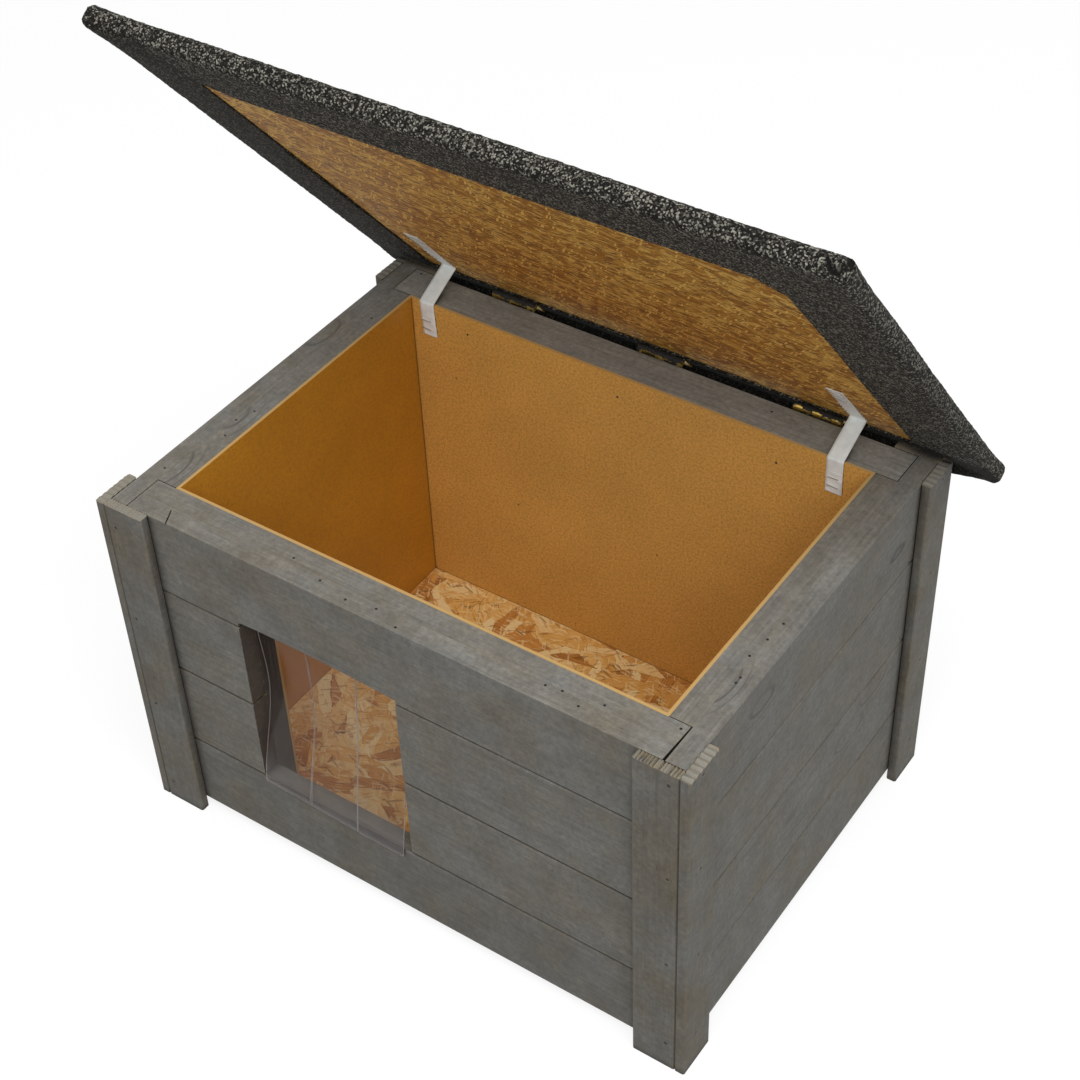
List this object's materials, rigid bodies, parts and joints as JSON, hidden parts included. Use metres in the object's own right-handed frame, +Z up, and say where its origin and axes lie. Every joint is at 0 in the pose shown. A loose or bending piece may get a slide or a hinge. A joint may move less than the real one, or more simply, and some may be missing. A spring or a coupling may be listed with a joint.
{
  "type": "dog kennel",
  "caption": "Insulated wooden pet kennel with a felt-covered hinged roof, stop straps, corner battens for feet and a doorway hung with clear soft strips.",
  "frame": {"origin": "ground level, at the middle of the whole part's box in width and depth with the lid open", "axes": "+Z up, +X to the right and -Y out of the doorway, seen from the front"},
  "size_m": [0.686, 0.4914, 0.7977],
  "materials": {
    "painted_pine": "matt grey paint on sawn pine",
    "bare_pine": "planed, bare",
    "hardboard": "smooth, bare",
    "strand_board": "pressed strands, bare",
    "roofing_felt": "mineral granules in bitumen",
    "foam": "expanded beads",
    "clear_pvc": "clear, soft",
    "strap_plastic": "white, rolled",
    "brass": "bright",
    "bright_steel": "bright"
  },
  "bodies": {
    "box": {"front_top_plank": "painted_pine", "front_upper_left_plank": "painted_pine", "front_upper_right_plank": "painted_pine", "front_lower_left_plank": "painted_pine", "front_lower_right_plank": "painted_pine", "front_bottom_plank": "painted_pine", "back_bottom_plank": "painted_pine", "back_lower_plank": "painted_pine", "back_upper_plank": "painted_pine", "back_top_plank": "painted_pine", "left_bottom_plank": "painted_pine", "left_lower_plank": "painted_pine", "left_upper_plank": "painted_pine", "left_top_plank": "painted_pine", "right_bottom_plank": "painted_pine", "right_lower_plank": "painted_pine", "right_upper_plank": "painted_pine", "right_top_plank": "painted_pine", "front_left_batten": "painted_pine", "front_right_batten": "painted_pine", "back_left_batten": "painted_pine", "back_right_batten": "painted_pine", "left_front_batten": "painted_pine", "left_back_batten": "painted_pine", "right_front_batten": "painted_pine", "right_back_batten": "painted_pine", "batten_nails": "bright_steel", "front_top_rail": "painted_pine", "back_top_rail": "painted_pine", "left_top_rail": "painted_pine", "right_top_rail": "painted_pine", "bottom_rails": "bare_pine", "corner_posts": "bare_pine", "door_posts": "painted_pine", "door_header": "painted_pine", "wall_foam": "foam", "front_lining": "hardboard", "back_lining": "hardboard", "left_lining": "hardboard", "right_lining": "hardboard", "floor_board": "strand_board", "hinge_left_box_leaf": "brass", "hinge_middle_box_leaf": "brass", "hinge_right_box_leaf": "brass", "hinge_pins": "brass", "hinge_box_screws": "bright_steel", "strap_left": "strap_plastic", "strap_right": "strap_plastic", "strap_wall_staples": "bright_steel"},
    "lid": {"lid_board": "strand_board", "lid_felt": "roofing_felt", "hinge_left_lid_leaf": "brass", "hinge_middle_lid_leaf": "brass", "hinge_right_lid_leaf": "brass", "hinge_lid_screws": "bright_steel", "strap_lid_staples": "bright_steel"},
    "strip_left": {"strip_left": "clear_pvc"},
    "strip_middle": {"strip_middle": "clear_pvc"},
    "strip_right": {"strip_right": "clear_pvc"}
  },
  "joints": [
    {"name": "lid_hinge", "type": "hinge", "parent": "box", "child": "lid", "pos_m": [0, 0.19983, 0.3928], "axis": [1, 0, 0], "range_deg": [0, 51.5], "deforming": ["strap_left", "strap_right"]},
    {"name": "strip_left_swing", "type": "hinge", "parent": "box", "child": "strip_left", "pos_m": [0, -0.21467, 0.3041], "axis": [-1, 0, 0], "range_deg": [0, 70]},
    {"name": "strip_middle_swing", "type": "hinge", "parent": "box", "child": "strip_middle", "pos_m": [0, -0.21467, 0.3041], "axis": [-1, 0, 0], "range_deg": [0, 70]},
    {"name": "strip_right_swing", "type": "hinge", "parent": "box", "child": "strip_right", "pos_m": [0, -0.21467, 0.3041], "axis": [-1, 0, 0], "range_deg": [0, 70]}
  ]
}
